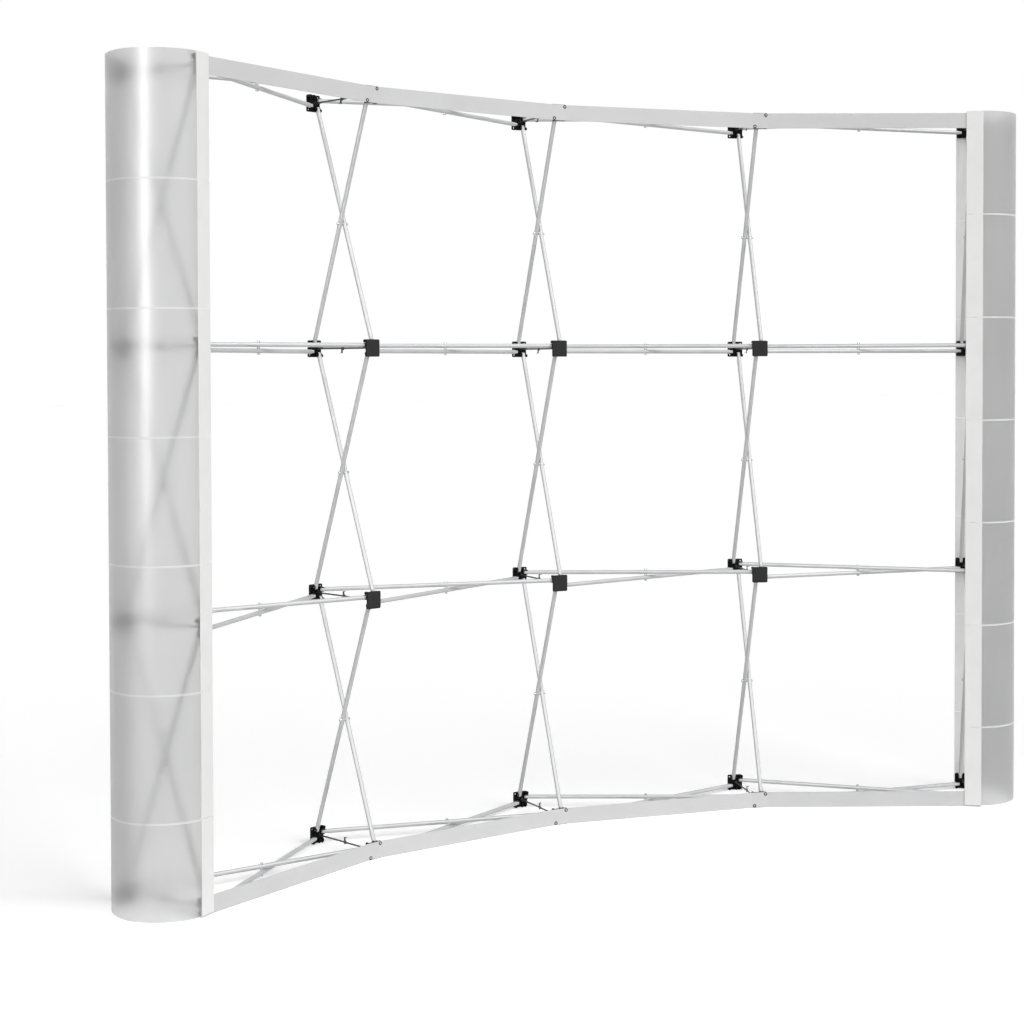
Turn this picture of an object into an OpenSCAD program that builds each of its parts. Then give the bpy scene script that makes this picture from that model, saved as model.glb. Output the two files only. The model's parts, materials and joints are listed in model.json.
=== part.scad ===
// Pop up display backwall: a curved folding frame of crossed tubes, standing open.
// Columns of hubs stand on a circle whose hollow side is the near side, -Y.
// Each column has, at every row, a near hub, a far hub and a two-part lock between them.
// Lengths are in millimetres. +Z is up, and the origin is below the middle of the box.

/* [Frame] */
// Number of bays side by side
bays_wide = 4; // [2:1:4]
// Number of bays one above the other
bays_high = 3; // [1:1:3]
// Height from one row of hubs to the next
row_pitch = 725; // [600:5:800]
// Straight distance between the near faces of neighbouring near hubs
near_pitch = 686; // [600:2:760]
// Angle that the frame turns through in each bay, in degrees
bay_turn = 17.5; // [10:0.5:20]
// Distance from the outer face of a near hub to the outer face of the far hub behind it
frame_depth = 262; // [240:2:300]

/* [Tubes] */
// Outer diameter of a tube
tube_d = 13; // [11:0.5:14]
// Wall of a tube
tube_wall = 1; // [0.8:0.1:1.5]
// Diameter of the rivet where two tubes cross
rivet_d = 4; // [3:0.5:5]
// Diameter of the rivet's head and of the washer between the tubes
rivet_head_d = 9; // [7:0.5:10]
// Thickness of the rivet's head
rivet_head_t = 5; // [2:0.5:6]

/* [Tube ends] */
// Thickness of the flat tongue that enters a hub
tongue_t = 9; // [6:0.5:9]
// Width of the tongue
tongue_w = 12; // [10:0.5:12]
// Length of the tongue from its pin to the collar
tongue_reach = 9; // [9:0.5:14]
// Length of the collar that covers the tube's end
collar_len = 2; // [1:0.5:4]
// Length of the spigot inside the tube
spigot_len = 14; // [8:1:30]

/* [Hubs] */
// Width and height of a hub's plate
hub_size = 50; // [50:1:60]
// Thickness of the plate
plate_t = 3; // [2.5:0.5:4]
// Radius of the plate's corners
plate_corner_r = 4; // [2:0.5:6]
// Distance of the two corner holes from the plate's centre, both ways
hole_offset = 18.25; // [18.25:0.25:19]
// Diameter of the two corner holes
hole_d = 4.5; // [3.5:0.25:5]
// Distance of a tube's pin from the hub's centre, along the plate
pin_reach = 16.5; // [16:0.5:18]
// Height of a tube's pin over the plate's outer face
pin_height = 12; // [11.5:0.5:14]
// Diameter of the pins
pin_d = 4; // [3:0.5:4.5]
// Thickness of the ears that hold a pin
ear_t = 2; // [1.5:0.25:2]
// Radius of the ears about their pin
ear_r = 6; // [5:0.5:6]
// Height over the plate of the web that joins the ears
web_t = 2.5; // [1.5:0.5:3]
// Height over the plate's outer face of the cheeks and of the two solid corners
cheek_h = 13; // [10:0.5:13]
// Width of the two solid corners
corner_w = 9; // [7:0.5:9]

/* [Locks] */
// Thickness of the pressed steel arms
arm_t = 1.5; // [1:0.25:2]
// Width of the arms
arm_w = 4.5; // [3.5:0.5:6]
// Diameter of the round head about the catch pin, on either arm
arm_head_d = 11; // [9:0.5:12]
// Height of the arm's pivot pin over the plate's outer face
arm_pin_height = 11; // [11:0.5:13]
// Diameter of the catch pin that the hook drops over
catch_d = 4; // [3:0.5:5]
// Length of the hook's nose beyond the catch pin
nose_len = 10; // [8:0.5:12]
// Height of the finger tab over the arm's middle
tab_height = 14; // [10:1:20]
// Width of the finger tab
tab_w = 6; // [4:1:10]
// How far the tab's top is bent out sideways
tab_bend = 5; // [3:1:10]

/* [Bands and pads] */
// Height of the two loop bands
band_h = 48; // [40:1:50]
// Thickness of the bands and of the hub pads
band_t = 2.5; // [1.5:0.25:3]
// Diameter of the domed head of a band rivet
dome_d = 9; // [7:0.5:11]
// Height of that head
dome_h = 2.5; // [1.5:0.5:4]

/* [End panels] */
// Height of an end panel's lower edge above the floor
panel_lift = 5; // [0:1:10]
// Height of an end panel
panel_h = 2225; // [1800:5:2500]
// Height of a full segment; the lowest one is what is left over
segment_h = 328; // [250:1:600]
// Gap between two segments
segment_gap = 1; // [0.5:0.5:4]
// How far the bowed sheet stands out beyond the strips
panel_bulge = 120; // [80:5:160]
// Fullness of the bow: 2 is an ellipse, and less is more pointed
bow_power = 1.8; // [1.6:0.05:2.4]
// Thickness of the translucent sheet
sheet_t = 1; // [0.8:0.1:1.5]
// Width of the edge strips
strip_w = 52; // [50:1:70]
// Thickness of the edge strips
strip_t = 3; // [2:0.25:5]
// Width of the sheet's edge that lies under a strip
sheet_lap = 8; // [4:1:20]
// Height of the tape over each seam
tape_h = 5; // [3:1:12]
// Thickness of the tape
tape_t = 0.4; // [0.2:0.1:1]

/* [Hidden] */
$fn = 48;
BOW_STEPS = 24;                 // straight stretches round one bowed sheet
PIN_PLAY = 0.05;                // radial clearance of every pin and shank
TONGUE_PLAY = 0.2;              // clearance on each side of a tongue or a pivot bush
LAP_GAP = 0.2;                  // gap between the two arms of a lock
ARM_CLEAR = 0.4;                // clearance from an arm to the tubes that it passes
CATCH_PLAY = 0.15;              // radial clearance of the hook's notch
BAND_MARGIN = 0.5;              // length by which a band lies flat beyond plate and strip
SKIN_GAP = 0.02;                // clearance between a band and the panel strip over it
CUT = 1;                        // length by which a cutting shape runs past what it cuts

// Where the tubes run: each crossing pair stands this far off its hub's centre
cross_gap = 2 * (arm_t + ARM_CLEAR) + LAP_GAP;
tube_off = (tube_d + cross_gap) / 2;

// The circle of the near faces, and the columns and rows
near_r = near_pitch / (2 * sin(bay_turn / 2));
row_z = [for (r = [0 : bays_high]) hub_size / 2 + r * row_pitch];
function column_turn(c) = (c - bays_wide / 2) * bay_turn;

// Clevis and lug sizes that follow from the pieces they hold
slot_w = tongue_t + 2 * TONGUE_PLAY;
clevis_w = slot_w + 2 * ear_t;
cheek_reach = hub_size / 2 - pin_reach;
tube_start = tongue_reach + collar_len;
bush_len = 2 * arm_t + LAP_GAP + 2 * TONGUE_PLAY;
bush_d = pin_d + 5;
lug_slot = bush_len + 2 * TONGUE_PLAY;
lug_w = lug_slot + 2 * ear_t;
bore_d = pin_d + 2 * PIN_PLAY;
rivet_bore_d = rivet_d + 2 * PIN_PLAY;
rivet_tail_d = hole_d + 1;
rivet_tail_t = 1.5;
catch_head_d = catch_d + 2.5;
catch_head_t = 1;

// Bands: the length that lies flat on each hub, and its near corner
flat_half = max(hub_size, strip_w) / 2 + BAND_MARGIN;
band_face = band_t - SKIN_GAP;
flat_half_near = flat_half - band_face * tan(bay_turn / 4);

// End panels
segment_pitch = segment_h + segment_gap;
panel_segments = ceil(panel_h / segment_pitch);
panel_top = panel_lift + panel_h;
function segment_z(i) = max(panel_lift, panel_top - (panel_segments - i) * segment_pitch + segment_gap);
function segment_top(i) = panel_top - (panel_segments - 1 - i) * segment_pitch;
bow_half = frame_depth / 2 + band_t + sheet_t;

// A point of column c in plan: x along the column's tangent, y outward from the near face
function plan(c, x, y) = let (a = column_turn(c))
    [(near_r + y) * sin(a) + x * cos(a), (near_r + y) * cos(a) - x * sin(a)];

// The bowed outline, grown by a layer, from the near strip's edge round to the far one's
function bow(grow) = [
    for (i = [0 : BOW_STEPS])
        let (t = -90 + 180 * i / BOW_STEPS, p = 2 / bow_power)
        [strip_w / 2 + (panel_bulge + grow) * pow(abs(cos(t)), p),
         frame_depth / 2 + (bow_half + grow) * sign(t) * pow(abs(sin(t)), p)]];

// The box in plan: its front is an end panel, and its back is the furthest far hub
front_y = min([for (p = bow(tape_t)) plan(bays_wide, p[0], p[1])[1]]);
back_y = max([for (c = [0 : bays_wide])
    (near_r + frame_depth) * cos(column_turn(c)) + hub_size / 2 * abs(sin(column_turn(c)))]);
mid_y = (front_y + back_y) / 2;

ROW_NAMES = bays_high == 1 ? ["bottom", "top"]
    : bays_high == 2 ? ["bottom", "middle", "top"]
    : ["bottom", "lower", "upper", "top"];
function arm_name(kind, r, c) = str(kind, "_arm_", ROW_NAMES[r], "_", c + 1);
ARM_KINDS = ["hook", "catch"];
FIXED_NODES = [
    "near_hubs", "far_hubs", "hub_pins", "hub_pads",
    "level_tubes", "upright_tubes", "tube_plugs", "level_rivets", "upright_rivets",
    "top_band", "bottom_band", "band_rivets",
    "left_sheets", "left_near_strips", "left_far_strips", "left_seam_tapes",
    "right_sheets", "right_near_strips", "right_far_strips", "right_seam_tapes"];

// ---------------------------------------------------------------- places

// Moves a child to column c: x along the tangent, y from the near faces to the far ones
module at_column(c) {
    a = column_turn(c);
    translate([near_r * sin(a), near_r * cos(a) - mid_y, 0])
        rotate([0, 0, -a])
            children();
}

module at_near_hub(c, r) {
    at_column(c)
        translate([0, 0, row_z[r]])
            children();
}

module at_far_hub(c, r) {
    at_near_hub(c, r)
        translate([0, frame_depth, 0])
            rotate([0, 0, 180])
                children();
}

module at_all_near_hubs() {
    for (c = [0 : bays_wide], r = [0 : bays_high])
        at_near_hub(c, r)
            children();
}

module at_all_far_hubs() {
    for (c = [0 : bays_wide], r = [0 : bays_high])
        at_far_hub(c, r)
            children();
}

// The four places of a hub's tube ends, in a pinwheel about its centre
module at_clevises() {
    for (k = [0 : 3])
        rotate([0, -90 * k, 0])
            translate([pin_reach, pin_height, -tube_off])
                children();
}

// The right end is at the last column, and the left end is its mirror image
module at_end(side) {
    at_column(side > 0 ? bays_wide : 0)
        mirror([side > 0 ? 0 : 1, 0, 0])
            children();
}

// A lock opens upwards in the lower half of the frame and downwards in the upper half
module at_lock(c, r) {
    at_near_hub(c, r)
        rotate([0, 2 * r < bays_high ? 0 : 180, 0])
            children();
}

// ---------------------------------------------------------------- small shapes

module rounded_rect(w, h, r) {
    square([w - 2 * r, h], center = true);
    square([w, h - 2 * r], center = true);
    for (x = [-1, 1], y = [-1, 1])
        translate([x * (w / 2 - r), y * (h / 2 - r)])
            circle(r = r);
}

// Turns a flat shape, drawn as x across and y up, to stand facing -Y, and thickens it to +Y
module standing(t) {
    translate([0, t, 0])
        rotate([90, 0, 0])
            linear_extrude(t)
                children();
}

// Turns a flat shape, drawn as depth and height, into a plate across x, from x0
module side_plate(x0, t) {
    translate([x0, 0, 0])
        rotate([90, 0, 90])
            linear_extrude(t)
                children();
}

module pin(d, x0, x1) {
    translate([x0, 0, 0])
        rotate([0, 90, 0])
            cylinder(h = x1 - x0, d = d);
}

// ---------------------------------------------------------------- hubs

// An ear in profile: its foot on the plate, its round top about the pin at height h
module ear_profile(h) {
    circle(r = ear_r);
    translate([-ear_r, plate_t - h])
        square([2 * ear_r, h - plate_t]);
}

// Two ears about a pin along Z, with the slot between them, open to the tube's end
module clevis() {
    difference() {
        translate([0, 0, -clevis_w / 2])
            linear_extrude(clevis_w) {
                ear_profile(pin_height);
                translate([0, plate_t - pin_height])
                    square([cheek_reach, cheek_h - plate_t]);
            }
        translate([-ear_r - CUT, plate_t + web_t - pin_height, -slot_w / 2])
            cube([ear_r + cheek_reach + 2 * CUT, pin_height + ear_r + CUT, slot_w]);
        translate([0, 0, -clevis_w / 2 - CUT])
            cylinder(h = clevis_w + 2 * CUT, d = bore_d);
    }
}

// Two ears in the middle of the hub that hold one lock arm
module lock_lug() {
    difference() {
        side_plate(-lug_w / 2, lug_w)
            translate([arm_pin_height, 0])
                rotate(-90)
                    ear_profile(arm_pin_height);
        translate([-lug_slot / 2, plate_t + web_t, -ear_r - CUT])
            cube([lug_slot, arm_pin_height + ear_r, 2 * (ear_r + CUT)]);
        translate([0, arm_pin_height, 0])
            pin(bore_d, -lug_w / 2 - CUT, lug_w / 2 + CUT);
    }
}

// A hub, with its two corner holes on the diagonal that rises to the right (1) or the left (-1),
// and solid corners on the other one
module hub(diagonal) {
    hub_web_w = 2 * (tube_off + clevis_w / 2);
    difference() {
        union() {
            standing(plate_t)
                rounded_rect(hub_size, hub_size, plate_corner_r);
            translate([0, plate_t, 0])
                standing(web_t)
                    rounded_rect(hub_web_w, hub_web_w, plate_corner_r);
            at_clevises()
                clevis();
            lock_lug();
            for (s = [-1, 1])
                translate([s * (hub_size - corner_w) / 2, 0, -s * diagonal * (hub_size - corner_w) / 2])
                    standing(cheek_h)
                        rounded_rect(corner_w, corner_w, plate_corner_r);
        }
        for (s = [-1, 1])
            translate([s * diagonal * hole_offset, -CUT, s * hole_offset])
                rotate([-90, 0, 0])
                    cylinder(h = plate_t + web_t + 2 * CUT, d = hole_d);
    }
}

module near_hubs() {
    color("#151515")
        at_all_near_hubs()
            hub(1);
}

// The far hubs over the bottom row have their holes on the other diagonal
module far_hubs() {
    color("#151515")
        for (c = [0 : bays_wide], r = [0 : bays_high])
            at_far_hub(c, r)
                hub(r == 0 ? 1 : -1);
}

// The arm's pin of one hub
module lug_pin() {
    translate([0, arm_pin_height, 0])
        pin(pin_d, -lug_w / 2, lug_w / 2);
}

module hub_pins() {
    color("#9a9a9a") {
        at_all_near_hubs()
            lug_pin();
        at_all_far_hubs()
            lug_pin();
        at_all_strut_ends()
            translate([0, 0, -clevis_w / 2])
                cylinder(h = clevis_w, d = pin_d);
    }
}

// Soft pads: on the near hubs between the bands, and on the far hubs of both end columns
module hub_pads() {
    color("#414141") {
        for (c = [0 : bays_wide], r = [1 : 1 : bays_high - 1])
            at_near_hub(c, r)
                hub_pad();
        for (c = [0, bays_wide], r = [0 : bays_high])
            at_far_hub(c, r)
                hub_pad();
    }
}

module hub_pad() {
    translate([0, -band_t, 0])
        standing(band_t)
            rounded_rect(hub_size, hub_size, plate_corner_r);
}

// ---------------------------------------------------------------- crossed tubes

// Plan places of the pins of a level strut in bay b: near_first runs near to far
function level_start(b, near_first) =
    plan(b, pin_reach, near_first ? pin_height : frame_depth - pin_height);
function level_end(b, near_first) =
    plan(b + 1, -pin_reach, near_first ? frame_depth - pin_height : pin_height);
function level_len(b, near_first) = norm(level_end(b, near_first) - level_start(b, near_first));

// Share of a level strut's length from its start to the middle of the bay
function level_share(near_first) =
    let (a = bay_turn / 2,
         s = (near_r + (near_first ? pin_height : frame_depth - pin_height)) * sin(a)
             - pin_reach * cos(a),
         e = (near_r + (near_first ? frame_depth - pin_height : pin_height)) * sin(a)
             - pin_reach * cos(a))
    s / (s + e);

upright_rise = row_pitch - 2 * pin_reach;
upright_run = frame_depth - 2 * pin_height;
upright_len = norm([upright_rise, upright_run]);

// Moves a child onto a level strut: its x runs from pin to pin, and its pins lie along Z
module at_level_strut(b, r, near_first) {
    p = level_start(b, near_first);
    q = level_end(b, near_first);
    translate([p[0], p[1] - mid_y, row_z[r] + (near_first ? -tube_off : tube_off)])
        rotate([0, 0, atan2(q[1] - p[1], q[0] - p[0])])
            children();
}

// The same for an upright strut of column c, from row r to the next
module at_upright_strut(c, r, near_first) {
    run = near_first ? upright_run : -upright_run;
    at_near_hub(c, r)
        translate([near_first ? tube_off : -tube_off,
                   near_first ? pin_height : frame_depth - pin_height,
                   pin_reach])
            rotate([90, 0, 90])
                rotate([0, 0, atan2(upright_rise, run)])
                    children();
}

// Calls its child at both ends of every strut, with x pointing into the strut
module at_all_strut_ends() {
    for (b = [0 : bays_wide - 1], r = [0 : bays_high], near_first = [true, false])
        at_level_strut(b, r, near_first)
            both_ends(level_len(b, near_first))
                children();
    for (c = [0 : bays_wide], r = [0 : bays_high - 1], near_first = [true, false])
        at_upright_strut(c, r, near_first)
            both_ends(upright_len)
                children();
}

module both_ends(len) {
    children();
    translate([len, 0, 0])
        rotate([0, 0, 180])
            children();
}

// A hollow tube between two collars, drilled across where its rivet goes
module tube(len, share) {
    difference() {
        pin(tube_d, tube_start, len - tube_start);
        pin(tube_d - 2 * tube_wall, tube_start - CUT, len - tube_start + CUT);
        translate([len * share, 0, -tube_d])
            cylinder(h = 2 * tube_d, d = rivet_bore_d);
    }
}

module level_tubes() {
    color("#dcdcdc")
        for (b = [0 : bays_wide - 1], r = [0 : bays_high], near_first = [true, false])
            at_level_strut(b, r, near_first)
                tube(level_len(b, near_first), level_share(near_first));
}

module upright_tubes() {
    color("#dcdcdc")
        for (c = [0 : bays_wide], r = [0 : bays_high - 1], near_first = [true, false])
            at_upright_strut(c, r, near_first)
                tube(upright_len, 0.5);
}

// The moulded end of a tube: a tongue flattened on two sides, collar and spigot
module tube_plug() {
    difference() {
        union() {
            intersection() {
                translate([0, 0, -tongue_t / 2])
                    linear_extrude(tongue_t) {
                        circle(d = tongue_w);
                        translate([0, -tongue_w / 2])
                            square([tongue_reach, tongue_w]);
                    }
                pin(tube_d, -tongue_w, tube_start);
            }
            pin(tube_d, tongue_reach, tube_start);
            pin(tube_d - 2 * (tube_wall + PIN_PLAY), tube_start, tube_start + spigot_len);
        }
        translate([0, 0, -tongue_t])
            cylinder(h = 2 * tongue_t, d = bore_d);
    }
}

module tube_plugs() {
    color("#c8c8c8")
        at_all_strut_ends()
            tube_plug();
}

// The rivet through a crossing pair, with the washer that keeps the tubes apart
module cross_rivet() {
    reach = tube_off + tube_d / 2;
    translate([0, 0, -reach - rivet_head_t])
        cylinder(h = rivet_head_t, d = rivet_head_d);
    translate([0, 0, -reach])
        cylinder(h = 2 * reach, d = rivet_d);
    translate([0, 0, reach])
        cylinder(h = rivet_head_t, d = rivet_head_d);
    translate([0, 0, -cross_gap / 2])
        cylinder(h = cross_gap, d = rivet_head_d);
}

module level_rivets() {
    color("#b8b8b8")
        for (b = [0 : bays_wide - 1], r = [0 : bays_high])
            at_level_strut(b, r, true)
                translate([level_len(b, true) * level_share(true), 0, tube_off])
                    cross_rivet();
}

module upright_rivets() {
    color("#b8b8b8")
        for (c = [0 : bays_wide], r = [0 : bays_high - 1])
            at_upright_strut(c, r, true)
                translate([upright_len / 2, 0, -tube_off])
                    cross_rivet();
}

// ---------------------------------------------------------------- bands

// Half the length that lies flat on a hub, at side s of column c, for the band's far or near face
function band_reach(c, s, half) =
    (c == 0 && s < 0) || (c == bays_wide && s > 0) ? hub_size / 2 : half;

// The plan of a band: flat on every hub and straight between them
module band_plan() {
    far_side = [for (c = [0 : bays_wide], s = [-1, 1])
        plan(c, s * band_reach(c, s, flat_half), 0)];
    near_side = [for (c = [bays_wide : -1 : 0], s = [1, -1])
        plan(c, s * band_reach(c, s, flat_half_near), -band_face)];
    translate([0, -mid_y])
        polygon(concat(far_side, near_side));
}

module at_band_rivets(r) {
    for (c = [1 : 1 : bays_wide - 1], s = [-1, 1])
        at_near_hub(c, r)
            translate([s * hole_offset, 0, s * hole_offset])
                children();
}

module band(r) {
    color("#cfcfcf")
        difference() {
            translate([0, 0, row_z[r] - band_h / 2])
                linear_extrude(band_h)
                    band_plan();
            at_band_rivets(r)
                translate([0, CUT, 0])
                    rotate([90, 0, 0])
                        cylinder(h = band_t + 2 * CUT, d = hole_d);
        }
}

module top_band() {
    band(bays_high);
}

module bottom_band() {
    band(0);
}

// A domed rivet through band and plate, spread behind the plate
module band_rivet() {
    dome_r = (pow(dome_d / 2, 2) + pow(dome_h, 2)) / (2 * dome_h);
    rotate([90, 0, 0]) {
        translate([0, 0, band_t])
            rotate_extrude()
                intersection() {
                    translate([0, dome_h - dome_r])
                        circle(r = dome_r);
                    square([dome_d, dome_d]);
                }
        translate([0, 0, -plate_t])
            cylinder(h = plate_t + band_t, d = hole_d - 2 * PIN_PLAY);
        translate([0, 0, -plate_t - rivet_tail_t])
            cylinder(h = rivet_tail_t, d = rivet_tail_d);
    }
}

module band_rivets() {
    color("#b0b0b0")
        for (r = [0, bays_high])
            at_band_rivets(r)
                band_rivet();
}

// ---------------------------------------------------------------- end panels

// Raises a shape, drawn in plan, to each segment of a panel
module segments() {
    for (i = [0 : panel_segments - 1])
        translate([0, 0, segment_z(i)])
            linear_extrude(segment_top(i) - segment_z(i))
                children();
}

// The sheet in plan: a lap under each strip, and the bow between them
module sheet_plan() {
    lap_x = strip_w / 2 - sheet_lap;
    near_face = -band_t;
    far_face = frame_depth + band_t;
    polygon(concat(
        [[lap_x, near_face - sheet_t]],
        bow(0),
        [[lap_x, far_face + sheet_t], [lap_x, far_face]],
        [for (i = [BOW_STEPS : -1 : 0]) bow(-sheet_t)[i]],
        [[lap_x, near_face]]));
}

module sheets(side) {
    color("#c4c4c4", 0.6)
        at_end(side)
            segments()
                sheet_plan();
}

// A strip in plan, with the rebate for the sheet's edge at its back, drawn from y = 0
module strip_plan() {
    difference() {
        translate([-strip_w / 2, -strip_t])
            square([strip_w, strip_t]);
        translate([strip_w / 2 - sheet_lap, -sheet_t])
            square([sheet_lap + CUT, sheet_t + CUT]);
    }
}

module near_strips(side) {
    color("#ece9e4")
        at_end(side)
            segments()
                translate([0, -band_t])
                    strip_plan();
}

module far_strips(side) {
    color("#ece9e4")
        at_end(side)
            segments()
                translate([0, frame_depth + band_t])
                    mirror([0, 1])
                        strip_plan();
}

// Tape round the bow, over the gap between two segments
module seam_tapes(side) {
    color("#f4f4f4")
        at_end(side)
            for (i = [1 : panel_segments - 1])
                translate([0, 0, segment_z(i) - (segment_gap + tape_h) / 2])
                    linear_extrude(tape_h)
                        polygon(concat(
                            bow(tape_t),
                            [for (i = [BOW_STEPS : -1 : 0]) bow(0)[i]]));
}

// ---------------------------------------------------------------- locks

// The outline of an arm from its pivot at depth y0 to its round end at depth y1,
// with the round head about the catch pin
module arm_profile(y0, y1) {
    lo = min(y0, y1);
    translate([y0, 0])
        circle(r = bush_d / 2 + 1);
    translate([lo, -arm_w / 2])
        square([abs(y1 - y0), arm_w]);
    translate([y1, 0])
        circle(d = arm_w);
    translate([frame_depth / 2, 0])
        circle(d = arm_head_d);
}

// The bush and bore of an arm about its pivot at depth y
module arm_pivot(y) {
    difference() {
        union() {
            children();
            translate([0, y, 0])
                pin(bush_d, -bush_len / 2, bush_len / 2);
        }
        translate([0, y, 0])
            pin(bore_d, -bush_len, bush_len);
    }
}

// The far arm: it hooks over the catch pin, and its tab lifts it off
module hook_arm(r, c) {
    pivot_y = frame_depth - arm_pin_height;
    catch_y = frame_depth / 2;
    notch_d = catch_d + 2 * CATCH_PLAY;
    x0 = LAP_GAP / 2;
    nose_y = catch_y - nose_len + arm_w / 2;
    color("#3a3a3c")
        at_lock(c, r)
            arm_pivot(pivot_y) {
                side_plate(x0, arm_t)
                    difference() {
                        union() {
                            arm_profile(pivot_y, nose_y);
                            translate([catch_y, 0])
                                square([tab_w, tab_height]);
                        }
                        translate([catch_y, 0])
                            circle(d = notch_d);
                        translate([catch_y - notch_d / 2, -arm_head_d])
                            square([notch_d, arm_head_d]);
                    }
                translate([x0, catch_y, tab_height - arm_t])
                    cube([arm_t + tab_bend, tab_w, arm_t]);
            }
}

// The near arm: it carries the catch pin, whose head keeps the hook from sliding off sideways
module catch_arm(r, c) {
    catch_y = frame_depth / 2;
    x0 = -LAP_GAP / 2 - arm_t;
    head_x = LAP_GAP / 2 + arm_t + TONGUE_PLAY;
    color("#3a3a3c")
        at_lock(c, r) {
            arm_pivot(arm_pin_height)
                side_plate(x0, arm_t)
                    arm_profile(arm_pin_height, catch_y);
            translate([0, catch_y, 0]) {
                pin(catch_d, x0, head_x);
                pin(catch_head_d, head_x, head_x + catch_head_t);
            }
        }
}

// ---------------------------------------------------------------- the nodes

near_hubs();
far_hubs();
hub_pins();
hub_pads();
level_tubes();
upright_tubes();
tube_plugs();
level_rivets();
upright_rivets();
top_band();
bottom_band();
band_rivets();
sheets(-1);  // left_sheets
near_strips(-1);  // left_near_strips
far_strips(-1);  // left_far_strips
seam_tapes(-1);  // left_seam_tapes
sheets(1);  // right_sheets
near_strips(1);  // right_near_strips
far_strips(1);  // right_far_strips
seam_tapes(1);  // right_seam_tapes
for (r = [0 : bays_high], c = [0 : bays_wide]) {
    hook_arm(r, c);
    catch_arm(r, c);
}
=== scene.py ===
import json
import math

import bmesh
import bpy
from mathutils import Euler, Matrix, Vector


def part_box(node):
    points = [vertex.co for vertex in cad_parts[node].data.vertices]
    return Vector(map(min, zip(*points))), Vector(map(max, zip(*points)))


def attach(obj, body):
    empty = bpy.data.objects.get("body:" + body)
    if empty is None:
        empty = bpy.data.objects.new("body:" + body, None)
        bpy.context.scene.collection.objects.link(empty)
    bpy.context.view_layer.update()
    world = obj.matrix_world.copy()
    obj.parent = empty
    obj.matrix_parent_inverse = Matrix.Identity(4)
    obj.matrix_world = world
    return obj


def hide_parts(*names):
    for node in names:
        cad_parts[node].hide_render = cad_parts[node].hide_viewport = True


# Pop up display backwall: the finished look of the folding frame and its two end panels.
# Lengths are in metres. Columns of hubs stand on a circle whose hollow side is -Y.
#
# Replaced by finer pieces: the two bands, the hub pads, the rivets of the bands, the rivets where
# tubes cross, and the film, strips and tapes of the end panels. All other nodes show as built.

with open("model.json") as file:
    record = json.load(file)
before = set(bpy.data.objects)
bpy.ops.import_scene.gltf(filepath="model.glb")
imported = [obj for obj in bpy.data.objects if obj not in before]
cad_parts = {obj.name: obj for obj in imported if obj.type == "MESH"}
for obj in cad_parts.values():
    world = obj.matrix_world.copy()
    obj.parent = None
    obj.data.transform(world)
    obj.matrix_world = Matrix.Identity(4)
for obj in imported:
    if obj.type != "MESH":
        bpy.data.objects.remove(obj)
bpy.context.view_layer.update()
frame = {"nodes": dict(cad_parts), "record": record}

# ---- sizes that the frame was built from

BAYS_WIDE, BAYS_HIGH = 4, 3
ROW_PITCH = 0.725                # from hub to hub, up a column
NEAR_PITCH = 0.686               # from near hub to near hub, along a row
BAY_TURN = math.radians(17.5)
FRAME_DEPTH = 0.262              # from the near hubs' faces to the far hubs' faces
HUB_SIZE = 0.050
HUB_CORNER = 0.004
HOLE_OFFSET = 0.01825            # a hub's corner hole, sideways and upward from its middle
PIN_REACH, PIN_HEIGHT = 0.0165, 0.012
TUBE_D = 0.013
CROSS_GAP = 0.004
TUBE_OFF = (TUBE_D + CROSS_GAP) / 2
BAND_H, BAND_T = 0.048, 0.0025
BAND_FLAT = 0.0265               # half the stretch that lies flat on a near hub
PANEL_LIFT, PANEL_H = 0.005, 2.225
SEGMENT_H, SEGMENT_GAP = 0.328, 0.001
BULGE, BOW_POWER = 0.120, 1.8
SHEET_T = 0.001
STRIP_W, STRIP_T, SHEET_LAP = 0.052, 0.003, 0.008
TAPE_H, TAPE_T = 0.005, 0.0004

NEAR_R = NEAR_PITCH / (2 * math.sin(BAY_TURN / 2))
MID_Y = NEAR_R + FRAME_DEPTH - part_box("far_hubs")[1].y
SEGMENTS = math.ceil(PANEL_H / (SEGMENT_H + SEGMENT_GAP))
PANEL_TOP = PANEL_LIFT + PANEL_H
BOW_HALF = FRAME_DEPTH / 2 + BAND_T + SHEET_T
ROW_Z = [HUB_SIZE / 2 + row * ROW_PITCH for row in range(BAYS_HIGH + 1)]

# ---- sizes of the finer pieces

BAND_EDGE, BAND_BEND = 0.0009, 0.006
DOME_D, DOME_H = 0.0064, 0.0025
SHADE_RING_D, SHADE_RING_H = 0.0105, 0.0014    # painted shade: a dark ring round each dome, standing in for the shadow where the band is drawn in
RIVET_HEAD_D, RIVET_HEAD_H = 0.009, 0.005
STRIP_EDGE = 0.00035

# Faces that meet at more than this many degrees keep an edge between them.
ROUND_EDGE, TEMPLATE_EDGE, FLAT_EDGE = 20.0, 35.0, 8.0


def column_turn(column):
    """How far a column is turned from the middle one, which faces -Y."""
    return (column - BAYS_WIDE / 2) * BAY_TURN


def in_plan(column, x, y, z=0.0):
    """A point of a column: x along its tangent, y from the near faces to the far ones."""
    turn = column_turn(column)
    return Vector(((NEAR_R + y) * math.sin(turn) + x * math.cos(turn),
                   (NEAR_R + y) * math.cos(turn) - x * math.sin(turn) - MID_Y, z))


def end_column(side):
    """The column that carries the left (-1) or the right (1) end panel."""
    return BAYS_WIDE if side > 0 else 0


def level_line(side, outline, z):
    """An outline seen from above, put at an end panel. Its x is measured outward."""
    return [in_plan(end_column(side), side * x, y, z) for x, y in outline]


def segment_ends(number):
    """The foot and top of a segment. The lowest one is what the full ones leave over."""
    top = PANEL_TOP - (SEGMENTS - 1 - number) * (SEGMENT_H + SEGMENT_GAP)
    return max(PANEL_LIFT, top - SEGMENT_H), top


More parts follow.
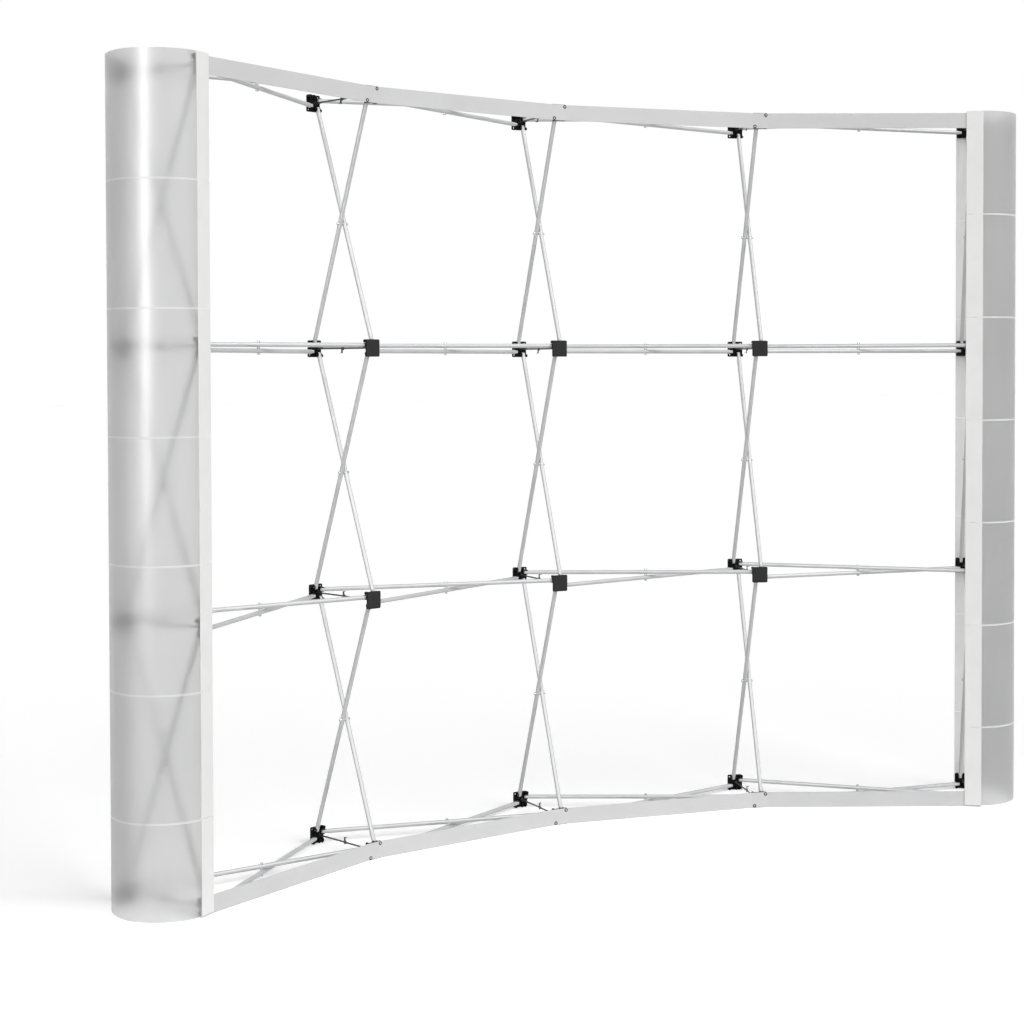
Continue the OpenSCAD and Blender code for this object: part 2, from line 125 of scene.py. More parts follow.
def bow(grow, steps=96):
    """The bowed outline of an end panel, from the near strip's edge round to the far one's."""
    power = 2 / BOW_POWER
    line = []
    for i in range(steps + 1):
        angle = -math.pi / 2 + math.pi * i / steps
        round_x = abs(math.cos(angle)) ** power if 0 < i < steps else 0.0
        round_y = math.copysign(abs(math.sin(angle)) ** power, angle)
        line.append((STRIP_W / 2 + (BULGE + grow) * round_x,
                     FRAME_DEPTH / 2 + (BOW_HALF + grow) * round_y))
    return line


# ---- the camera, at the photograph's view

CAMERA_PLACE = Vector((-2.873, -4.896, 1.4256))
CAMERA_YAW, CAMERA_PITCH, CAMERA_ROLL = (math.radians(v) for v in (26.766, -1.358, -0.1924))
SENSOR_MM, LENS_MM = 36, 65.495
SHIFT_X, SHIFT_Y = 0.0546, -0.1005
SIGHT_END = 200


def place_camera():
    forward = Vector((math.sin(CAMERA_YAW) * math.cos(CAMERA_PITCH),
                      math.cos(CAMERA_YAW) * math.cos(CAMERA_PITCH),
                      math.sin(CAMERA_PITCH)))
    level = Vector((math.cos(CAMERA_YAW), -math.sin(CAMERA_YAW), 0))
    above = level.cross(forward)
    right = level * math.cos(CAMERA_ROLL) + above * math.sin(CAMERA_ROLL)
    up = above * math.cos(CAMERA_ROLL) - level * math.sin(CAMERA_ROLL)
    lens = bpy.data.cameras.new("view")
    lens.sensor_width = SENSOR_MM
    lens.lens = LENS_MM
    lens.shift_x = SHIFT_X
    lens.shift_y = SHIFT_Y
    lens.clip_end = SIGHT_END
    camera = bpy.data.objects.new("view", lens)
    camera.matrix_world = Matrix((right, up, -forward)).transposed().to_4x4()
    camera.location = CAMERA_PLACE
    bpy.context.scene.collection.objects.link(camera)
    bpy.context.scene.camera = camera


place_camera()

# ---- helpers for nodes


def add(tree, kind, inputs=(), **settings):
    """A new node. Inputs are by socket name or number: a value, or a socket to link from."""
    node = tree.nodes.new(kind)
    for key, value in settings.items():
        setattr(node, key, value)
    for key, value in dict(inputs).items():
        if isinstance(value, bpy.types.NodeSocket):
            tree.links.new(value, node.inputs[key])
        else:
            node.inputs[key].default_value = value
    return node


def math_of(tree, operation, first, second=0.0):
    """The result of one sum, product or other operation on numbers."""
    return add(tree, "ShaderNodeMath", {0: first, 1: second}, operation=operation).outputs[0]


def blend(tree, first, first_share, second, second_share):
    """The sum of two numbers, each times its share."""
    return math_of(tree, "ADD", math_of(tree, "MULTIPLY", first, first_share),
                   math_of(tree, "MULTIPLY", second, second_share))


def wave(tree, value, pitch):
    """A sine that repeats each time the value has grown by the pitch."""
    return math_of(tree, "SINE", math_of(tree, "MULTIPLY", value, math.tau / pitch))


def between(tree, fac, low, high, low_at=0.3, high_at=0.7):
    """A colour that runs from low to high as fac goes from low_at to high_at."""
    ramp = add(tree, "ShaderNodeValToRGB", {"Fac": fac})
    for element, place, colour in zip(ramp.color_ramp.elements, (low_at, high_at), (low, high)):
        element.position = place
        element.color = (*colour, 1)
    return ramp.outputs["Color"]


def spread(tree, value, low, high, low_at=0.3, high_at=0.7):
    """A number that runs from low to high as value goes from low_at to high_at."""
    return add(tree, "ShaderNodeMapRange",
               {"Value": value, "From Min": low_at, "From Max": high_at,
                "To Min": low, "To Max": high}).outputs["Result"]


def noise(tree, where, scale, detail=3.0):
    """Random soft patches, from 0 to 1. A larger scale makes them smaller."""
    return add(tree, "ShaderNodeTexNoise",
               {"Vector": where, "Scale": scale, "Detail": detail}).outputs["Fac"]


def object_coords(tree):
    """The place on the object, which moves with its piece."""
    return add(tree, "ShaderNodeTexCoord").outputs["Object"]


def stored(tree, name):
    """A number that the piece's own mesh holds at each point."""
    return add(tree, "ShaderNodeAttribute", attribute_name=name).outputs["Fac"]


def new_finish(name, **constants):
    """An empty material with its shader. Constants go straight on the shader's sockets."""
    material = bpy.data.materials.new(name)
    material.use_nodes = True
    tree = material.node_tree
    shader = tree.nodes["Principled BSDF"]
    for key, value in constants.items():
        shader.inputs[key.replace("_", " ").title().replace("Ior", "IOR")].default_value = value
    return material, tree, shader


def coat(tree, shader, colour, roughness):
    """Gives a shader its colour and its roughness."""
    tree.links.new(colour, shader.inputs["Base Color"])
    tree.links.new(roughness, shader.inputs["Roughness"])


def dent(tree, shader, height, distance, strength):
    """Gives a shader a fine relief, as deep as the distance."""
    bump = add(tree, "ShaderNodeBump",
               {"Height": height, "Distance": distance, "Strength": strength})
    tree.links.new(bump.outputs["Normal"], shader.inputs["Normal"])


# ---- finishes

MOULD_TONE_SCALE = 14.0
MOULD_STRAY = (0.05, 0.08)       # how far the roughness strays below and above its mean
METAL_STRAY = (0.06, 0.08)
SCRATCH_DEPTH = 0.00003

LOOP_ROW_PITCH, LOOP_PITCH = 0.0012, 0.0016      # across the band, and along it
LOOP_DEPTH = 0.00012
TUFT_SCALE, TUFT_DEPTH = 900.0, 0.0003

FILM_RIPPLE_SCALE = (7.0, 7.0, 1.6)              # drawn out along the film's height
FILM_RIPPLE_DEPTH = 0.002
FILM_BLOCKS = 0.12               # share of a lamp's light that each face of the film stops


def moulded(name, low, high, roughness, grain=900.0, depth=0.00006, **constants):
    """A moulded plastic: faint tone changes, and the fine grain of the mould."""
    material, tree, shader = new_finish(name, **constants)
    where = object_coords(tree)
    tone = noise(tree, where, MOULD_TONE_SCALE)
    fine = noise(tree, where, grain, detail=2.0)
    coat(tree, shader, between(tree, tone, low, high),
         spread(tree, fine, roughness - MOULD_STRAY[0], roughness + MOULD_STRAY[1]))
    dent(tree, shader, fine, depth, strength=0.5)
    return material


def metal(name, low, high, roughness, patch=60.0, scratch=700.0, **constants):
    """A metal with soft patches of tone and fine random scratches in its shine."""
    material, tree, shader = new_finish(name, **constants)
    where = object_coords(tree)
    patches = noise(tree, where, patch, detail=4.0)
    scratches = noise(tree, where, scratch, detail=2.0)
    coat(tree, shader, between(tree, patches, low, high),
         spread(tree, patches, roughness - METAL_STRAY[0], roughness + METAL_STRAY[1]))
    dent(tree, shader, scratches, SCRATCH_DEPTH, strength=0.35)
    return material


def loop_band():
    """Woven loop tape: fine rows of small loops along it, and a little soil."""
    material, tree, shader = new_finish("band_loop", sheen_weight=0.25, specular_ior_level=0.25)
    where = object_coords(tree)
    rows = wave(tree, stored(tree, "across"), LOOP_ROW_PITCH)
    loops = wave(tree, stored(tree, "along"), LOOP_PITCH)
    fuzz = noise(tree, where, 1500.0)
    soil = noise(tree, where, 5.0, detail=4.0)
    weave = blend(tree, rows, loops, fuzz, 1.6)
    tone = blend(tree, weave, 0.10, soil, 0.8)
    coat(tree, shader,
         between(tree, tone, (0.56, 0.56, 0.565), (0.62, 0.62, 0.62), low_at=0.2, high_at=0.8),
         spread(tree, fuzz, 0.72, 0.9))
    dent(tree, shader, weave, LOOP_DEPTH, strength=0.5)
    return material


def pile_pad():
    """The charcoal pad's short pile."""
    material, tree, shader = new_finish("pad_pile", sheen_weight=0.06, specular_ior_level=0.1)
    where = object_coords(tree)
    tufts = add(tree, "ShaderNodeTexVoronoi",
                {"Vector": where, "Scale": TUFT_SCALE}).outputs["Distance"]
    worn = noise(tree, where, 60.0, detail=4.0)
    tone = blend(tree, tufts, 0.5, worn, 0.7)
    coat(tree, shader,
         between(tree, tone, (0.019, 0.019, 0.020), (0.031, 0.031, 0.032), high_at=0.8),
         spread(tree, worn, 0.8, 0.95))
    dent(tree, shader, tufts, TUFT_DEPTH, strength=0.6)
    return material


def frosted_sheet():
    """The end panels' translucent film: it blurs what is behind it, and has a satin face.

    Most of a lamp's light passes it, so that the tubes and hubs inside the panels are lit."""
    material, tree, shader = new_finish(
        "sheet_frosted", transmission_weight=0.86, ior=1.42, specular_ior_level=0.5)
    where = object_coords(tree)
    drawn_out = add(tree, "ShaderNodeMapping", {"Vector": where, "Scale": FILM_RIPPLE_SCALE})
    cloudy = noise(tree, where, 3.0, detail=2.0)
    ripples = noise(tree, drawn_out.outputs["Vector"], 1.0)
    fine = noise(tree, where, 1400.0, detail=2.0)
    coat(tree, shader, between(tree, cloudy, (0.60, 0.60, 0.604), (0.63, 0.63, 0.63)),
         spread(tree, fine, 0.30, 0.35))
    dent(tree, shader, ripples, FILM_RIPPLE_DEPTH, strength=0.3)
    lamp_light = add(tree, "ShaderNodeLightPath").outputs["Is Shadow Ray"]
    tree.links.new(spread(tree, lamp_light, 1.0, FILM_BLOCKS, low_at=0.0, high_at=1.0),
                   shader.inputs["Alpha"])
    return material


# The keys are the frame's material slots.
FINISHES = {
    "hub_plastic": moulded("hub_black", low=(0.005, 0.005, 0.0055), high=(0.010, 0.010, 0.0105),
                           roughness=0.42, specular_ior_level=0.08),
    "plug_plastic": moulded("plug_grey", low=(0.50, 0.50, 0.51), high=(0.60, 0.60, 0.61),
                            roughness=0.45),
    "strip_plastic": moulded("strip_white", low=(0.74, 0.738, 0.732), high=(0.77, 0.768, 0.762),
                             roughness=0.42, grain=1500.0, depth=0.00004),
    "tape_plastic": moulded("tape_clear", low=(0.84, 0.84, 0.84), high=(0.90, 0.90, 0.90),
                            roughness=0.4, transmission_weight=0.25, ior=1.35),
    "tube_aluminium": metal("tube_satin", low=(0.50, 0.505, 0.51), high=(0.55, 0.55, 0.555),
                            roughness=0.40, patch=18.0, metallic=0.25, specular_ior_level=0.2),
    "pin_steel": metal("pin_steel", low=(0.36, 0.36, 0.36), high=(0.52, 0.52, 0.52),
                       roughness=0.35, metallic=1.0),
    "rivet_steel": metal("rivet_zinc", low=(0.42, 0.42, 0.43), high=(0.58, 0.58, 0.58),
                         roughness=0.33, metallic=1.0),
    "arm_steel": metal("arm_black_steel", low=(0.05, 0.05, 0.052), high=(0.085, 0.085, 0.085),
                       roughness=0.36, metallic=0.7),
    "band_fabric": loop_band(),
    "pad_fabric": pile_pad(),
    "sheet_plastic": frosted_sheet(),
}


def finish_frame_nodes():
    """Gives every node of the frame the finish of its slot."""
    slots = {part["node"]: part["material_slot"] for part in frame["record"]["subparts"]}
    for name, node in frame["nodes"].items():
        node.data.materials.clear()
        node.data.materials.append(FINISHES[slots[name]])


finish_frame_nodes()

# ---- trees that repeat a shape or sweep it along a path


def new_tree(name, sizes):
    """A geometry tree with one geometry in and out, and a named number input for each size."""
    tree = bpy.data.node_groups.new(name, "GeometryNodeTree")
    tree.interface.new_socket("Geometry", in_out="INPUT", socket_type="NodeSocketGeometry")
    for label in sizes:
        tree.interface.new_socket(label, in_out="INPUT", socket_type="NodeSocketFloat")
    tree.interface.new_socket("Geometry", in_out="OUTPUT", socket_type="NodeSocketGeometry")
    return tree, add(tree, "NodeGroupInput").outputs


def end_tree(tree, geometry, material):
    """Makes a tree's copies real, gives them their material and hands them on."""
    real = add(tree, "GeometryNodeRealizeInstances", {"Geometry": geometry})
    coloured = add(tree, "GeometryNodeSetMaterial",
                   {"Geometry": real.outputs[0], "Material": material})
    add(tree, "NodeGroupOutput", {"Geometry": coloured.outputs[0]})


def grown(name, seed, tree, sizes):
    """Runs a tree on the seed mesh with these sizes, and keeps the result as a plain mesh."""
    host = bpy.data.objects.new(name + "_seed", seed)
    bpy.context.scene.collection.objects.link(host)
    grow = host.modifiers.new("grow", "NODES")
    grow.node_group = tree
    for item in tree.interface.items_tree:
        if item.in_out == "INPUT" and item.name in sizes:
            grow[item.identifier] = sizes[item.name]
    depsgraph = bpy.context.evaluated_depsgraph_get()
    mesh = bpy.data.meshes.new_from_object(host.evaluated_get(depsgraph), depsgraph=depsgraph)
    host.modifiers.remove(grow)
    bpy.data.objects.remove(host)
    mesh.name = name
    piece = bpy.data.objects.new(name, mesh)
    bpy.context.scene.collection.objects.link(piece)
    return piece


def rounded(tree, curve, radius, count):
    """A curve with its corners rounded, by less where a side is too short."""
    return add(tree, "GeometryNodeFilletCurve",
               {"Curve": curve, "Count": count, "Radius": radius, "Limit Radius": True},
               mode="POLY").outputs[0]


def measured(tree, curve, name):
    """A curve that holds, under this name, how far each of its points is from its start."""
    length = add(tree, "GeometryNodeSplineParameter").outputs["Length"]
    return add(tree, "GeometryNodeStoreNamedAttribute",
               {"Geometry": curve, "Name": name, "Value": length},
               data_type="FLOAT", domain="POINT").outputs[0]


def strap_tree(material, soft_edge):
    """A flat strap that follows its path: its Height stands along Z."""
    tree, given = new_tree("strap_along_path", ("Height", "Thickness", "Edge", "Bend"))
    line = add(tree, "GeometryNodeMeshToCurve", {"Mesh": given["Geometry"]}).outputs[0]
    bent = rounded(tree, line, given["Bend"], count=4)
    upright = add(tree, "GeometryNodeSetCurveNormal", {"Curve": bent}, mode="Z_UP").outputs[0]
    section = add(tree, "GeometryNodeCurvePrimitiveQuadrilateral",
                  {"Width": given["Thickness"], "Height": given["Height"]}).outputs[0]
    if soft_edge:
        section = rounded(tree, section, given["Edge"], count=3)
    swept = add(tree, "GeometryNodeCurveToMesh",
                {"Curve": measured(tree, upright, "along"),
                 "Profile Curve": measured(tree, section, "across"), "Fill Caps": True})
    end_tree(tree, swept.outputs[0], material)
    return tree


def copies_tree(shape, material):
    """A copy of a shape at each point, turned and made tall as the point says."""
    tree, given = new_tree("copies_of_" + shape.name, ("Width", "Height"))
    source = add(tree, "GeometryNodeObjectInfo", {"Object": shape})
    turn = add(tree, "GeometryNodeInputNamedAttribute", {"Name": "turn"},
               data_type="FLOAT_VECTOR")
    tall = add(tree, "GeometryNodeInputNamedAttribute", {"Name": "tall"}, data_type="FLOAT")
    size = add(tree, "ShaderNodeCombineXYZ",
               {"X": given["Width"], "Y": given["Width"],
                "Z": math_of(tree, "MULTIPLY", given["Height"], tall.outputs["Attribute"])})
    copies = add(tree, "GeometryNodeInstanceOnPoints",
                 {"Points": given["Geometry"], "Instance": source.outputs["Geometry"],
                  "Rotation": turn.outputs["Attribute"], "Scale": size.outputs[0]})
    end_tree(tree, copies.outputs[0], material)
    return tree


def path_mesh(name, lines):
    """A mesh of open lines, for a strap to follow."""
    points, edges = [], []
    for line in lines:
        edges += [(len(points) + i, len(points) + i + 1) for i in range(len(line) - 1)]
        points += line
    mesh = bpy.data.meshes.new(name)
    mesh.from_pydata(points, edges, [])
    return mesh


def place_mesh(name, places, tall):
    """A mesh of loose points, each with the turn and the relative height of its copy."""
    mesh = bpy.data.meshes.new(name)
    mesh.from_pydata([place for place, _ in places], [], [])
    turn = mesh.attributes.new("turn", "FLOAT_VECTOR", "POINT")
    turn.data.foreach_set("vector", [v for _, angles in places for v in angles])
    height = mesh.attributes.new("tall", "FLOAT", "POINT")
    height.data.foreach_set("value", tall or [1.0] * len(places))
    return mesh


# ---- shapes, their copies, and the bodies and nodes that they go with


def soften(piece, degrees=ROUND_EDGE):
    """Smooth shading, with an edge kept wherever two faces meet at more than this angle."""
    piece.data.shade_smooth()
    piece.data.set_sharp_from_angle(angle=math.radians(degrees))


def shape_object(name, shape):
    """A template object from a bmesh, with its faces pointing outwards."""
    bmesh.ops.recalc_face_normals(shape, faces=shape.faces)
    mesh = bpy.data.meshes.new(name)
    shape.to_mesh(mesh)
    shape.free()
    template = bpy.data.objects.new(name, mesh)
    bpy.context.scene.collection.objects.link(template)
    soften(template, TEMPLATE_EDGE)
    return template


def join_rings(shape, low, high):
    """Faces between two rings of points. A ring of one point makes them meet in it."""
    count = max(len(low), len(high))
    for k in range(count):
        n = (k + 1) % count
        corners = [low[k % len(low)], low[n % len(low)], high[n % len(high)], high[k % len(high)]]
        shape.faces.new(list(dict.fromkeys(corners)))


def turned_shape(name, profile, sides=32):
    """A closed round shape about Z from (radius, height) pairs, the first and last on the axis."""
    shape = bmesh.new()
    rings = []
    for radius, height in profile:
        angles = [math.tau * k / sides for k in range(sides)] if radius else [0.0]
        rings.append([shape.verts.new((radius * math.cos(a), radius * math.sin(a), height))
                      for a in angles])
    for low, high in zip(rings, rings[1:]):
        join_rings(shape, low, high)
    return shape_object(name, shape)


def copied(name, places, template, material, width=1.0, height=1.0, tall=None):
    """One piece made of copies of a template, which is then removed."""
    piece = grown(name, place_mesh(name, places, tall), copies_tree(template, material),
                  {"Width": width, "Height": height})
    bpy.data.objects.remove(template)
    return piece


def dressed(piece, slot_name, body, *nodes):
    """Attaches the piece to the body that it moves with, and hides the nodes that it stands for.
    The finish's name, slot_name, is not used.
    """
    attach(piece, body)
    if nodes:
        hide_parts(*nodes)


def facing(column, outward):
    """The turn that points a shape's Z away from the near faces (-1) or the far ones (1)."""
    lean = Euler((math.radians(-90 * outward), 0, 0)).to_matrix()
    return (Matrix.Rotation(-column_turn(column), 3, "Z") @ lean).to_euler()


# ---- the two loop bands


def band_line(row):
    """The middle of a band: flat on every near hub, and straight between them."""
    middle = -BAND_T / 2
    flat = BAND_FLAT + middle * math.tan(BAY_TURN / 4)
    line = []
    for column in range(BAYS_WIDE + 1):
        for side in (-1, 1):
            free_end = (column, side) in ((0, -1), (BAYS_WIDE, 1))
            reach = HUB_SIZE / 2 if free_end else flat
            line.append(in_plan(column, side * reach, middle, ROW_Z[row]))
    return line


def add_band(node, row, strap):
    """The band that stands for a node, across one row of near hubs."""
    line = band_line(row)
    band = grown(node + "_loop", path_mesh(node, [line]), strap,
                 {"Height": BAND_H, "Thickness": BAND_T, "Edge": BAND_EDGE, "Bend": BAND_BEND})
    soften(band, FLAT_EDGE)
    dressed(band, "band_fabric", "frame", node)


band_strap = strap_tree(FINISHES["band_fabric"], soft_edge=True)
add_band("top_band", BAYS_HIGH, band_strap)
add_band("bottom_band", 0, band_strap)

# ---- the hub pads

# Rings from a pad's back to its face: how far each is set in from the edge, and its height.
PAD_RINGS = [(0.0004, 0.0), (0.0, 0.0006), (0.0, 0.0014), (0.0004, 0.0020),
             (0.0013, 0.00235), (0.006, 0.00245), (0.015, BAND_T)]
PAD_LEAST_RADIUS = 0.0008
PAD_CORNER_STEPS = 6


def pad_ring(shape, inset, height):
    """A square ring with round corners."""
    radius = max(HUB_CORNER - inset, PAD_LEAST_RADIUS)
    middle = HUB_SIZE / 2 - inset - radius
    ring = []
    for quarter in range(4):
        cx = middle if quarter in (0, 3) else -middle
        cy = middle if quarter in (0, 1) else -middle
        for k in range(PAD_CORNER_STEPS + 1):
            angle = math.pi / 2 * (quarter + k / PAD_CORNER_STEPS)
            ring.append(shape.verts.new((cx + radius * math.cos(angle),
                                         cy + radius * math.sin(angle), height)))
    return ring


def pad_shape():
    """A square pad with round corners, a soft edge and a slightly crowned face, lying on z = 0."""
    shape = bmesh.new()
    rings = [pad_ring(shape, inset, height) for inset, height in PAD_RINGS]
    for low, high in zip(rings, rings[1:]):
        join_rings(shape, low, high)
    shape.faces.new(list(reversed(rings[0])))
    shape.faces.new(rings[-1])
    return shape_object("pad_shape", shape)


def add_pads():
    """Pads on the near hubs of the middle rows, and on the far hubs of the end columns."""
    near = [(in_plan(c, 0, 0, ROW_Z[r]), facing(c, -1))
            for c in range(BAYS_WIDE + 1) for r in range(1, BAYS_HIGH)]
    far = [(in_plan(c, 0, FRAME_DEPTH, ROW_Z[r]), facing(c, 1))
           for c in (0, BAYS_WIDE) for r in range(BAYS_HIGH + 1)]
    pads = copied("hub_pads_pile", near + far, pad_shape(), FINISHES["pad_fabric"])
    dressed(pads, "pad_fabric", "frame", "hub_pads")


add_pads()

# ---- rivets: domed heads on the bands, and round heads and washers where tubes cross

# Half profiles as (radius, height) pairs, in shares of a rivet's width and of its height.
DOME_PROFILE = [(0.0, -0.2), (0.5, -0.2), (0.5, 0.12), (0.485, 0.2), (0.44, 0.26), (0.40, 0.42),
                (0.33, 0.66), (0.24, 0.84), (0.12, 0.96), (0.0, 1.0)]
# painted shade: the profile of a black ring that stands in for the shadow round each dome's foot
SHADE_RING_PROFILE = [(0.0, -0.2), (0.5, -0.2), (0.5, 0.5), (0.47, 0.85), (0.42, 1.0), (0.32, 1.0),
               (0.28, 0.8), (0.28, 0.3), (0.0, 0.3)]
KNOB_PROFILE = [(0.0, -0.1), (0.5, -0.1), (0.5, 0.55), (0.47, 0.74), (0.40, 0.88), (0.28, 0.96),
                (0.12, 1.0), (0.0, 1.0)]
WASHER_PROFILE = [(0.0, -0.5), (0.46, -0.5), (0.5, -0.42), (0.5, 0.42), (0.46, 0.5), (0.0, 0.5)]


def add_band_rivets():
    """Two domes at opposite corners of each hub that a band crosses, each in a dark ring of
    painted shade that stands in for the shadow round the dome's foot.
    """
    places = [(in_plan(c, s * HOLE_OFFSET, -BAND_T, ROW_Z[r] + s * HOLE_OFFSET), facing(c, -1))
              for c in range(1, BAYS_WIDE) for r in (0, BAYS_HIGH) for s in (-1, 1)]
    domes = copied("band_rivet_domes", places, turned_shape("dome", DOME_PROFILE),
                   FINISHES["rivet_steel"], DOME_D, DOME_H)
    dressed(domes, "rivet_steel", "frame", "band_rivets")
    # painted shade: black rings on the band round the domes, where there is only the shadow of the
    # drawn-in band
    shade_rings = copied("band_rivet_rims", places, turned_shape("rim", SHADE_RING_PROFILE),
                  FINISHES["hub_plastic"], SHADE_RING_D, SHADE_RING_H)
    dressed(shade_rings, "hub_plastic", "frame")


def level_crossing(bay, row):
    """Where the two level tubes of a bay cross, seen from above."""
    start = in_plan(bay, PIN_REACH, PIN_HEIGHT)
    end = in_plan(bay + 1, -PIN_REACH, FRAME_DEPTH - PIN_HEIGHT)
    half = BAY_TURN / 2
    near_run = (NEAR_R + PIN_HEIGHT) * math.sin(half) - PIN_REACH * math.cos(half)
    far_run = (NEAR_R + FRAME_DEPTH - PIN_HEIGHT) * math.sin(half) - PIN_REACH * math.cos(half)
    place = start.lerp(end, near_run / (near_run + far_run))
    place.z = ROW_Z[row]
    return place


def crossings():
    """The middle of each crossing and the way its rivet points, level tubes first."""
    level = [(level_crossing(b, r), Vector((0, 0, 1)))
             for b in range(BAYS_WIDE) for r in range(BAYS_HIGH + 1)]
    upright = [(in_plan(c, 0, FRAME_DEPTH / 2, (ROW_Z[r] + ROW_Z[r + 1]) / 2),
                Vector((math.cos(column_turn(c)), -math.sin(column_turn(c)), 0)))
               for c in range(BAYS_WIDE + 1) for r in range(BAYS_HIGH)]
    return level + upright


def along_axis(axis):
    """The turn that points a shape's Z along an axis."""
    return axis.to_track_quat("Z", "Y").to_euler()


def add_crossing_rivets():
    """A round head on the outside of both tubes, and a washer between them."""
    head_reach = TUBE_OFF + TUBE_D / 2
    head_places = [(centre + axis * s * head_reach, along_axis(axis * s))
                   for centre, axis in crossings() for s in (-1, 1)]
    washer_places = [(centre, along_axis(axis)) for centre, axis in crossings()]
    heads = copied("cross_rivet_heads", head_places, turned_shape("knob", KNOB_PROFILE),
                   FINISHES["rivet_steel"], RIVET_HEAD_D, RIVET_HEAD_H)
    dressed(heads, "rivet_steel", "frame", "level_rivets", "upright_rivets")
    washers = copied("cross_rivet_washers", washer_places,
                     turned_shape("washer", WASHER_PROFILE),
                     FINISHES["rivet_steel"], RIVET_HEAD_D, CROSS_GAP)
    dressed(washers, "rivet_steel", "frame")


add_band_rivets()
add_crossing_rivets()

# ---- the end panels

segments = [segment_ends(i) for i in range(SEGMENTS)]
shares = [(top - foot) / SEGMENT_H for foot, top in segments]      # of a full segment's height


def film_shape(side, strap):
    """One full segment of the bowed film, standing on z = 0 where its end panel is."""
    middle = bow(-SHEET_T / 2)
    lap_x = STRIP_W / 2 - SHEET_LAP
    outline = [(lap_x, middle[0][1]), *middle, (lap_x, middle[-1][1])]
    return grown("film_shape", path_mesh("film", [level_line(side, outline, SEGMENT_H / 2)]),
                 strap, {"Height": SEGMENT_H, "Thickness": SHEET_T, "Bend": 0.0})


def strip_shape(side):
    """One segment of an edge strip, x outward and y away from the hubs, with its rebate."""
    half = STRIP_W / 2
    outline = [(-half, 0), (half - SHEET_LAP, 0), (half - SHEET_LAP, SHEET_T), (half, SHEET_T),
               (half, STRIP_T), (-half, STRIP_T)]
    shape = bmesh.new()
    low = [shape.verts.new((side * x, y, 0)) for x, y in outline]
    high = [shape.verts.new((side * x, y, SEGMENT_H)) for x, y in outline]
    shape.faces.new(low)
    shape.faces.new(high)
    join_rings(shape, low, high)
    bmesh.ops.bevel(shape, geom=shape.edges[:], offset=STRIP_EDGE, segments=2, profile=0.5,
                    affect="EDGES")
    return shape_object("strip_shape", shape)


def strip_places(side, outward):
    """Places of a strip's segments, on the near pads (-1) or the far ones (1)."""
    column = end_column(side)
    y = FRAME_DEPTH + BAND_T if outward > 0 else -BAND_T
    turn = -column_turn(column) + (0 if outward > 0 else math.pi)
    return [(in_plan(column, 0, y, foot), (0, 0, turn)) for foot, _ in segments]


def add_film(side, side_name, strap):
    film = copied(side_name + "_film", [((0, 0, foot), (0, 0, 0)) for foot, _ in segments],
                  film_shape(side, strap), FINISHES["sheet_plastic"], tall=shares)
    soften(film)
    dressed(film, "sheet_plastic", side_name + "_panel", side_name + "_sheets")


def add_tape(side, side_name, strap):
    """Tape round the bow, over each seam between two segments."""
    outline = bow(TAPE_T / 2)
    lines = [level_line(side, outline, top + SEGMENT_GAP / 2) for _, top in segments[:-1]]
    tape = grown(side_name + "_tape", path_mesh("tape", lines), strap,
                 {"Height": TAPE_H, "Thickness": TAPE_T, "Bend": 0.0})
    soften(tape)
    dressed(tape, "tape_plastic", side_name + "_panel", side_name + "_seam_tapes")


def add_strip(side, side_name, outward, place_name):
    strip = copied(f"{side_name}_{place_name}_strip", strip_places(side, outward),
                   strip_shape(side * outward), FINISHES["strip_plastic"], tall=shares)
    soften(strip, FLAT_EDGE)
    dressed(strip, "strip_plastic", side_name + "_panel", f"{side_name}_{place_name}_strips")


film_strap = strap_tree(FINISHES["sheet_plastic"], soft_edge=False)
tape_strap = strap_tree(FINISHES["tape_plastic"], soft_edge=False)
for side, side_name in ((-1, "left"), (1, "right")):
    add_film(side, side_name, film_strap)
    add_tape(side, side_name, tape_strap)
    add_strip(side, side_name, -1, "near")
    add_strip(side, side_name, 1, "far")

# ---- floor, background and light

WHITE = (1, 1, 1, 1)
SKY_LIGHT = 0.25                 # strength of the world where it lights the object
FLOOR_REACH = 60.0
FLOOR_COLOUR = (0.86, 0.86, 0.86, 1)
FLOOR_LIFT = 0.30                # what the floor adds to sight alone, so that it shows white


def seen(tree):
    """1 where the background is looked at, also in metal and through film; 0 where it lights."""
    path = add(tree, "ShaderNodeLightPath").outputs
    return math_of(tree, "MAXIMUM", path["Is Camera Ray"],
                   math_of(tree, "MAXIMUM", path["Is Glossy Ray"], path["Is Transmission Ray"]))


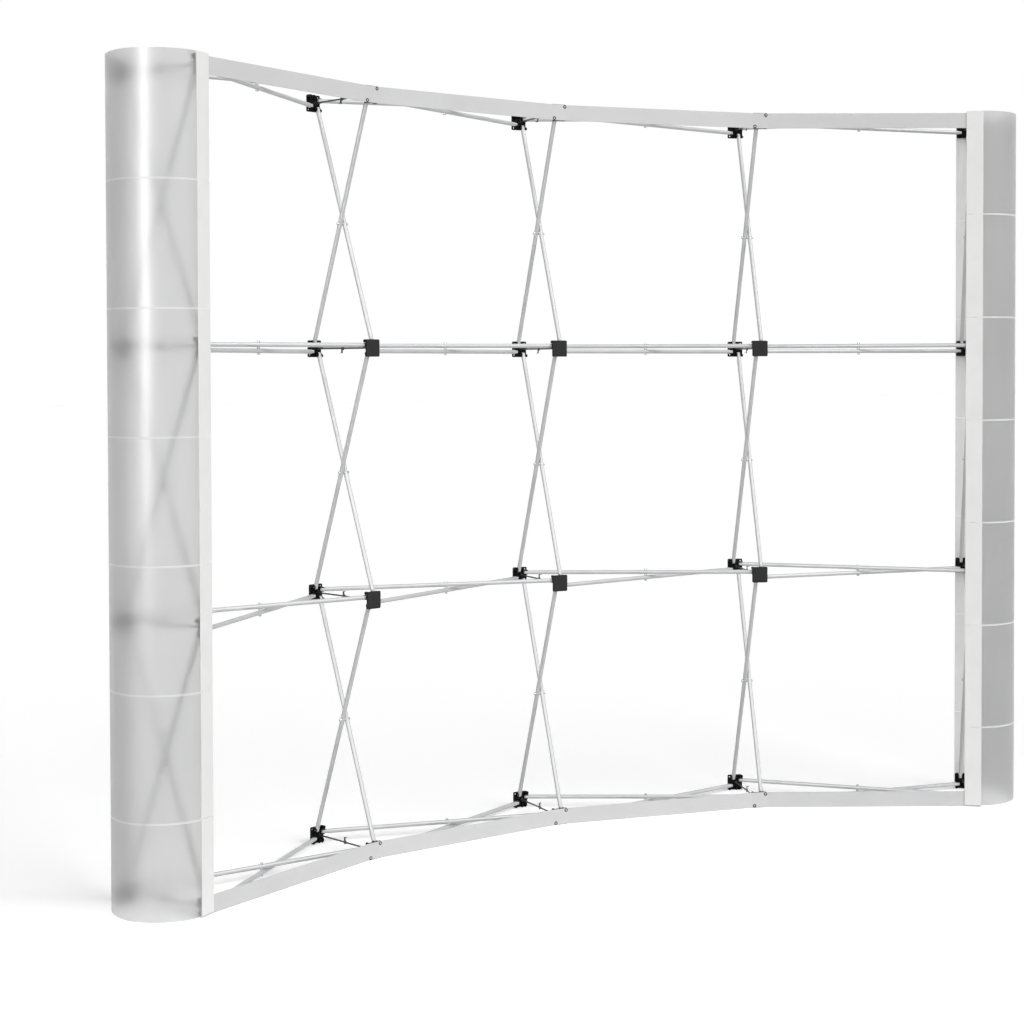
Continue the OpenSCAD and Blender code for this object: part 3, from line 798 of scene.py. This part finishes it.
def floor_finish():
    """Pale and plain, and lifted to white where it is seen. It keeps the object's shadow."""
    material = bpy.data.materials.new("floor_white")
    material.use_nodes = True
    tree = material.node_tree
    tree.nodes.clear()
    pale = add(tree, "ShaderNodeBsdfDiffuse", {"Color": FLOOR_COLOUR})
    lift = add(tree, "ShaderNodeEmission",
               {"Color": WHITE, "Strength": math_of(tree, "MULTIPLY", seen(tree), FLOOR_LIFT)})
    both = add(tree, "ShaderNodeAddShader", {0: pale.outputs[0], 1: lift.outputs[0]})
    add(tree, "ShaderNodeOutputMaterial", {"Surface": both.outputs[0]})
    return material


def lay_floor():
    mesh = bpy.data.meshes.new("floor")
    corners = [(x * FLOOR_REACH, y * FLOOR_REACH, 0)
               for x, y in ((-1, -1), (1, -1), (1, 1), (-1, 1))]
    mesh.from_pydata(corners, [], [(0, 1, 2, 3)])
    mesh.materials.append(floor_finish())
    floor = bpy.data.objects.new("floor", mesh)
    bpy.context.scene.collection.objects.link(floor)


def light_world():
    """White where it is seen, also in metal and through film, and lower where it lights."""
    world = bpy.data.worlds.new("studio")
    bpy.context.scene.world = world
    world.use_nodes = True
    tree = world.node_tree
    background = tree.nodes["Background"]
    background.inputs["Color"].default_value = WHITE
    tree.links.new(spread(tree, seen(tree), SKY_LIGHT, 1.0, low_at=0.0, high_at=1.0),
                   background.inputs["Strength"])


def stand(name, light, place, target):
    """A lamp at a place, pointed at a target."""
    lamp = bpy.data.objects.new(name, light)
    lamp.location = place
    lamp.rotation_euler = (Vector(target) - Vector(place)).to_track_quat("-Z", "Y").to_euler()
    bpy.context.scene.collection.objects.link(lamp)
    return lamp


def soft_sun(name, direction, strength, degrees):
    """A broad even light from a direction."""
    light = bpy.data.lights.new(name, "SUN")
    light.energy = strength
    light.angle = math.radians(degrees)
    stand(name, light, direction, (0, 0, 0))


def soft_box(name, place, target, width, height, watts):
    """A tall lamp that only shows as a reflection; the suns do the lighting."""
    light = bpy.data.lights.new(name, "AREA")
    light.shape = "RECTANGLE"
    light.size = width
    light.size_y = height
    light.energy = watts
    lamp = stand(name, light, place, target)
    lamp.visible_diffuse = False
    lamp.visible_transmission = False


lay_floor()
light_world()
soft_sun("right_front", direction=(1.6, -3.0, 2.6), strength=2.0, degrees=45)
soft_sun("left_front", direction=(-2.4, -2.6, 2.4), strength=1.05, degrees=55)
soft_box("tall_box", place=(-4.3, -3.3, 2.2), target=(-1.4, -0.3, 1.7),
         width=0.8, height=2.6, watts=150)

bpy.context.scene.view_settings.view_transform = "Standard"
